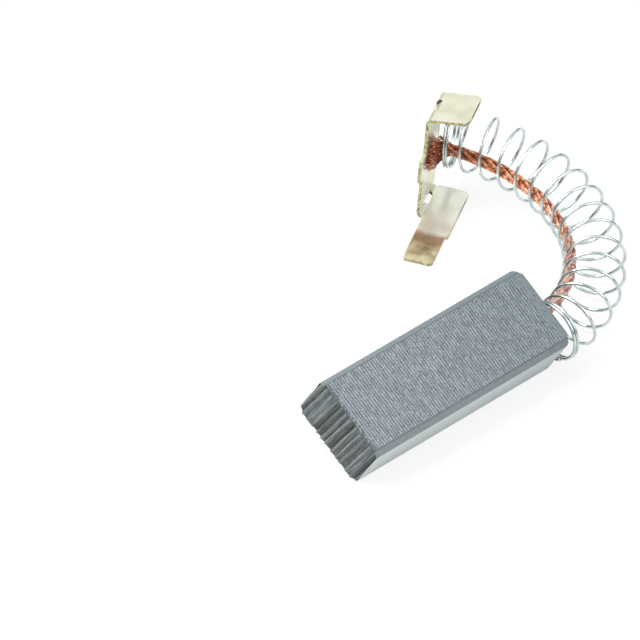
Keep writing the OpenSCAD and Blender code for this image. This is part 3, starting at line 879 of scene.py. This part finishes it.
# Inside the slots at the folds the cut edges see little light and look dark.
slot_middle, slot_out, slot_in = 2.45, 1.6, 1.3
from_slot = add(brass_mat, MATHS, {VALUE: a_way, OTHER: slot_middle * MM}, operation="SUBTRACT")
from_slot = add(brass_mat, MATHS, {VALUE: from_slot}, operation="ABSOLUTE")
in_slot = add(brass_mat, STEP, {VALUE: from_slot, LOW: slot_out * MM, HIGH: slot_in * MM})
bare = add(brass_mat, MIX, {SHARE: in_slot, UNDER: bare, OVER: srgb("#57523c")}, data_type="RGBA")
brass_colour = add(brass_mat, MIX, {
    SHARE: cut_edge, UNDER: face.outputs[MIXED], OVER: bare.outputs[MIXED]}, data_type="RGBA")
print("slot edges are dark within", slot_in, "mm of the slot's middle")

# %% The tinned brass shader
# Tin plate is satin: its grain is too fine to draw, so part of the light is scattered.
clean_rough, brown_patch_rough, edge_rough = 0.25, 0.15, 0.3
roll_height = 0.1
dull = add(brass_mat, MATHS, {VALUE: stain_and_reflection_mask, OTHER: brown_patch_rough, PLUS: clean_rough},
           operation="MULTIPLY_ADD")
dull = add(brass_mat, MATHS, {VALUE: cut_edge, OTHER: edge_rough, PLUS: dull}, operation="MULTIPLY_ADD")
roll_cells = add(brass_mat, MAPPING, {"Vector": on_sheet, "Scale": in_metres(3.0, 3.0, 3.0)},
                 vector_type="TEXTURE")
roll = add(brass_mat, NOISE, {"Vector": roll_cells, "Scale": 1.0, "Detail": 2.0})
brass_bump = add(brass_mat, BUMP, {"Height": roll, "Strength": 0.2, "Distance": roll_height * MM})
brass_shader = add(brass_mat, SHADER, {
    "Base Color": brass_colour.outputs[MIXED], "Metallic": 0.72, "Roughness": dull, "Normal": brass_bump})
add(brass_mat, OUTPUT, {"Surface": brass_shader})
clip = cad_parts["clip"]
clip.data.materials.clear()
clip.data.materials.append(brass_mat)
print("brass nodes:", len(brass_mat.node_tree.nodes))

# %% [markdown]
# ## Tamped copper powder
#
# The hole round the shunt is packed with copper powder: dull, crumbly and red-brown. Its
# solid is a plain plug with a flat end. The crumbs are finer than any mesh is worth, so
# noise gives both their colour and the bump that catches the light.

# %% Powder
crumb_size, crumb_height = 0.12, 0.05
powder_mat = new_material("tamped copper powder")
plug_place = add(powder_mat, PLACE)
crumb_cells = add(powder_mat, MAPPING, {
    "Vector": plug_place.outputs["Object"],
    "Scale": in_metres(crumb_size, crumb_size, crumb_size)}, vector_type="TEXTURE")
crumbs = add(powder_mat, NOISE, {"Vector": crumb_cells, "Scale": 1.0, "Detail": 3.0})
crumb_colour = add(powder_mat, RAMP, {"Fac": crumbs}, [(0.3, "#4a2a1e"), (0.7, "#9a6048")])
crumb_bump = add(powder_mat, BUMP, {"Height": crumbs, "Strength": 0.6, "Distance": crumb_height * MM})
powder_shader = add(powder_mat, SHADER, {
    "Base Color": crumb_colour, "Roughness": 0.8, "Normal": crumb_bump})
add(powder_mat, OUTPUT, {"Surface": powder_shader})
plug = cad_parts["tamping_plug"]
plug.data.materials.clear()
plug.data.materials.append(powder_mat)
print("powder nodes:", len(powder_mat.node_tree.nodes))

# %% [markdown]
# ## The bench
#
# A sheet of white paper lies under the brush. It takes soft shadows as paper does, and
# the camera and mirrors see it mostly as its own glow, so that it shows as white without
# more light on the object. Stronger lamps would whiten the paper too, but they would
# wash out the brush.

# %% Floor
reach = 3.0
paper_glow, paper_white = 0.84, srgb("#f3f3f3")
floor_mesh = bpy.data.meshes.new("floor")
floor_corners = [(-reach, -reach, 0), (reach, -reach, 0), (reach, reach, 0), (-reach, reach, 0)]
floor_mesh.from_pydata(floor_corners, [], [(0, 1, 2, 3)])
floor = bpy.data.objects.new("floor", floor_mesh)
bpy.context.collection.objects.link(floor)
floor_mat = new_material("white bench paper")
paper = add(floor_mat, SHADER, {
    "Base Color": paper_white, "Roughness": 0.9, "Specular IOR Level": 0.0})
rays = add(floor_mat, RAYS)
seen = add(floor_mat, MATHS, {VALUE: rays.outputs["Is Camera Ray"], OTHER: rays.outputs["Is Glossy Ray"]},
           operation="MAXIMUM")
glow_share = add(floor_mat, MATHS, {VALUE: seen, OTHER: paper_glow}, operation="MULTIPLY")
glow = add(floor_mat, "ShaderNodeEmission", {"Color": white, "Strength": 1.0})
paper_mix = add(floor_mat, BLEND, {SHARE: glow_share, FIRST: paper, SECOND: glow})
add(floor_mat, OUTPUT, {"Surface": paper_mix})
floor_mesh.materials.append(floor_mat)
print("floor is", 2 * reach, "m wide")

# %% [markdown]
# ## The room and its lamps
#
# The room is a white tent. It looks white to the camera, and mirrors see it darken
# towards the bench, which draws the thin grey lines along the spring's wire. Walls of
# cloth could be built for this, but a world that answers each kind of ray costs nothing
# to trace. Two soft boxes give the block its gentle shading.

# %% The tent
tent_light = 0.55
world = bpy.data.worlds.new("studio")
bpy.context.scene.world = world
world.use_nodes = True
world.node_tree.nodes.clear()
direction = add(world, PLACE)
level = add(world, SPLIT, {"Vector": direction.outputs["Generated"]})
room = add(world, RAMP, {"Fac": level.outputs["Z"]}, [
    (0.06, "#5d6969"), (0.46, "#ffffff"), (0.3, "#b7c0c0")])
world_rays = add(world, RAYS)
plain_light = add(world, "ShaderNodeBackground", {"Color": white, "Strength": tent_light})
mirror_light = add(world, "ShaderNodeBackground", {"Color": room, "Strength": 1.0})
camera_light = add(world, "ShaderNodeBackground", {"Color": white, "Strength": 1.0})
to_mirrors = add(world, BLEND, {
    SHARE: world_rays.outputs["Is Glossy Ray"], FIRST: plain_light, SECOND: mirror_light})
to_camera = add(world, BLEND, {
    SHARE: world_rays.outputs["Is Camera Ray"], FIRST: to_mirrors, SECOND: camera_light})
add(world, "ShaderNodeOutputWorld", {"Surface": to_camera})
print("world nodes:", len(world.node_tree.nodes))


# %% Soft boxes
def soft_box(name, place, width, watts):
    """A square lamp that looks at the brush. Sizes are in metres."""
    data = bpy.data.lights.new(name, "AREA")
    data.shape = "SQUARE"
    data.size = width
    data.energy = watts
    lamp = bpy.data.objects.new(name, data)
    lamp.location = place
    lamp.rotation_euler = (-Vector(place)).to_track_quat("-Z", "Y").to_euler()
    bpy.context.collection.objects.link(lamp)
    print(name, "lamp is", round(Vector(place).length, 2), "m away,", width, "m wide")


soft_box("key", place=(-0.25, 0.12, 0.45), width=0.35, watts=3.2)
soft_box("fill", place=(0.2, -0.45, 0.3), width=0.4, watts=1.2)

# %% [markdown]
# ## The camera
#
# The brush is seen from above one corner, from more than a metre away, through a long
# lens. An orthographic camera would be simpler, but even at this distance the nearer end
# is a little larger, and the long lens keeps that.

# %% Camera
eye_from_block = np.array([-750.04, -770.18, 829.21])
azimuth, elevation = math.radians(-44.05), math.radians(36.93)
sensor_w, focal_l = 36, 729.5
camera_data = bpy.data.cameras.new("camera")
camera_data.sensor_width = sensor_w
camera_data.lens = focal_l
camera_data.clip_end = 10
camera = bpy.data.objects.new("camera", camera_data)
bpy.context.collection.objects.link(camera)
eye = eye_from_block + np.array([block_low[0], block_place[1], 0])
camera.location = tuple(eye * MM)
camera.rotation_euler = (math.pi / 2 - elevation, 0, azimuth)
bpy.context.scene.camera = camera
bpy.context.scene.view_settings.view_transform = "Standard"
print("camera is", round(float(np.linalg.norm(eye)) * MM, 2), "m from the middle of the bench")
